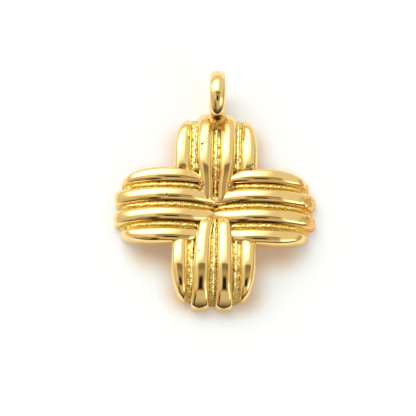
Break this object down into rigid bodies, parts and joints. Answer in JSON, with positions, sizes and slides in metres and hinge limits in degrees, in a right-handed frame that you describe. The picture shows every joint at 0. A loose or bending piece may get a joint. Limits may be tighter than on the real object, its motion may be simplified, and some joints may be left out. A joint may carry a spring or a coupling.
{
  "type": "cross pendant",
  "caption": "Ribbed cross pendant of gold-plated brass: two arched bands of round ribs cross over each other, with a round bail soldered edge-on at the top.",
  "frame": {"origin": "on the surface that the pendant lies on, under the middle of the whole pendant, bail included", "axes": "+Z out of the ribbed front, +Y towards the bail, +X to the right as seen from the front"},
  "size_m": [0.0264, 0.0322, 0.0074],
  "materials": {
    "gold_plating": "polished gold plating, rough as cast in the grooves"
  },
  "bodies": {
    "root": {"cross_with_bail": "gold_plating"}
  },
  "joints": []
}
